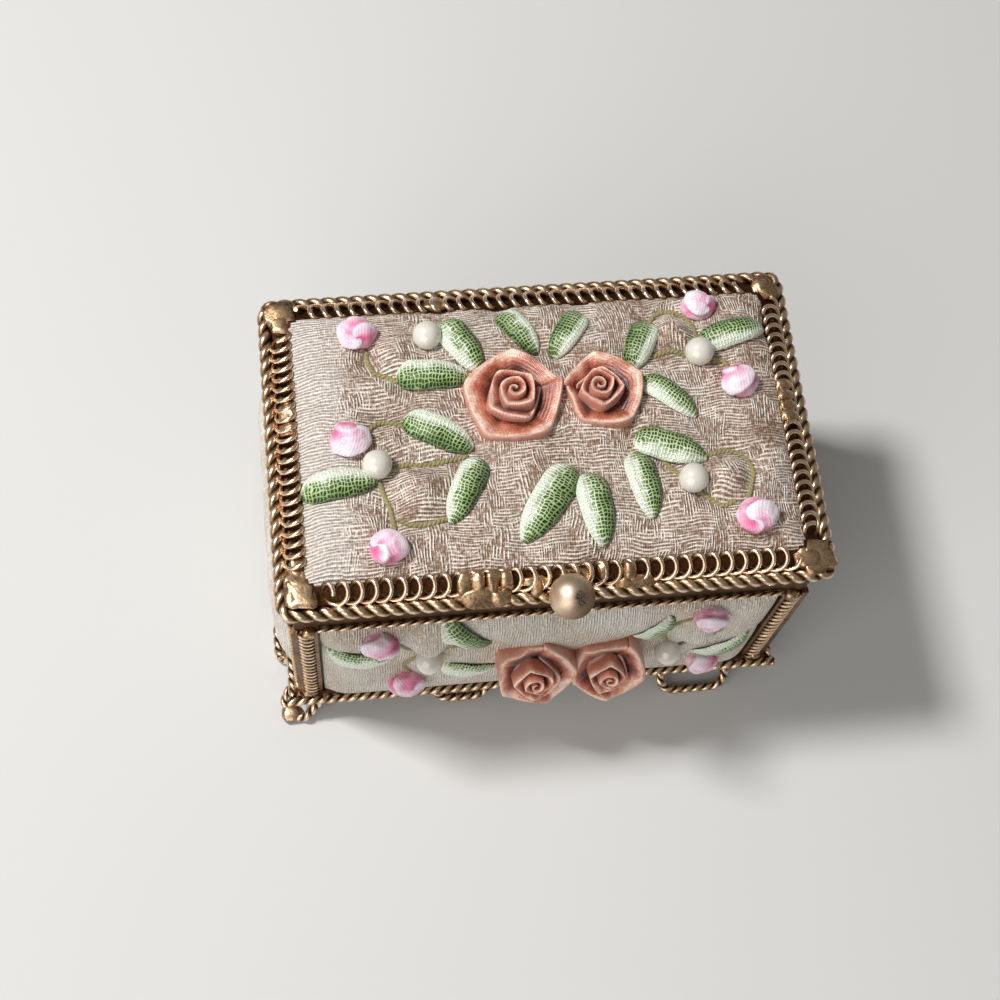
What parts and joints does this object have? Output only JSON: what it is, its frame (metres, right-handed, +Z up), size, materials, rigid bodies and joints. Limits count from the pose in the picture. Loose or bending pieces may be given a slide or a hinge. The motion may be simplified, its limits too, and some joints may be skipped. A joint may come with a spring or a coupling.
{
  "type": "hinged trinket box",
  "caption": "Small gilt-framed trinket box with padded brocade panels, sewn ribbon flowers, a ball knob and a lid hinged at the back.",
  "frame": {"origin": "on the surface the box stands on, under the middle of its bounding box", "axes": "+Z up, +X to the right seen from the front, the knob and the sewn roses face -Y"},
  "size_m": [0.0736, 0.0507, 0.0493],
  "materials": {
    "gilt_sheet": "antiqued gilt sheet metal",
    "gilt_rope": "antiqued gilt twisted wire",
    "gilt_wire": "antiqued gilt coiled wire",
    "knob_brass": "worn satin brass",
    "brocade": "shiny ribbed champagne brocade",
    "rose_ribbon": "dusty salmon satin ribbon",
    "leaf_ribbon": "shaded green ribbon",
    "bud_ribbon": "shaded pink and white ribbon",
    "pearl": "pearl lustre",
    "lining_cloth": "plain satin lining",
    "card": "plain board"
  },
  "bodies": {
    "box": {"base_plate": "gilt_sheet", "base_rope_back": "gilt_rope", "base_rope_front": "gilt_rope", "base_rope_left": "gilt_rope", "base_rope_right": "gilt_rope", "body_knuckles": "gilt_sheet", "box_core": "card", "corner_coils_back_left": "gilt_wire", "corner_coils_back_right": "gilt_wire", "corner_coils_front_left": "gilt_wire", "corner_coils_front_right": "gilt_wire", "corner_post_back_left": "gilt_sheet", "corner_post_back_right": "gilt_sheet", "corner_post_front_left": "gilt_sheet", "corner_post_front_right": "gilt_sheet", "floor_pad": "lining_cloth", "foot_back_left": "gilt_rope", "foot_back_right": "gilt_rope", "foot_front_left": "gilt_rope", "foot_front_right": "gilt_rope", "foot_left": "gilt_rope", "foot_right": "gilt_rope", "front_buds": "bud_ribbon", "front_leaves": "leaf_ribbon", "front_pearls": "pearl", "front_rose_left": "rose_ribbon", "front_rose_right": "rose_ribbon", "hinge_pin": "gilt_sheet", "panel_back": "brocade", "panel_front": "brocade", "panel_left": "brocade", "panel_right": "brocade", "rim_band": "gilt_sheet", "rope_curl_back": "gilt_rope", "rope_curl_front": "gilt_rope", "top_rope_back": "gilt_rope", "top_rope_front": "gilt_rope", "top_rope_left": "gilt_rope", "top_rope_right": "gilt_rope", "wall_lining": "lining_cloth"},
    "lid": {"knob_ball": "knob_brass", "knob_stem": "gilt_sheet", "lid_buds": "bud_ribbon", "lid_frame": "gilt_sheet", "lid_knuckles": "gilt_sheet", "lid_leaves": "leaf_ribbon", "lid_lining": "lining_cloth", "lid_pad": "brocade", "lid_pearls": "pearl", "lid_plate": "gilt_sheet", "lid_rings_back": "gilt_wire", "lid_rings_front": "gilt_wire", "lid_rings_left": "gilt_wire", "lid_rings_right": "gilt_wire", "lid_rope": "gilt_rope", "lid_rose_left": "rose_ribbon", "lid_rose_right": "rose_ribbon"}
  },
  "joints": [
    {"name": "lid_hinge", "type": "hinge", "parent": "box", "child": "lid", "pos_m": [0, 0.02245, 0.03885], "axis": [-1, 0, 0], "range_deg": [0, 105]}
  ]
}
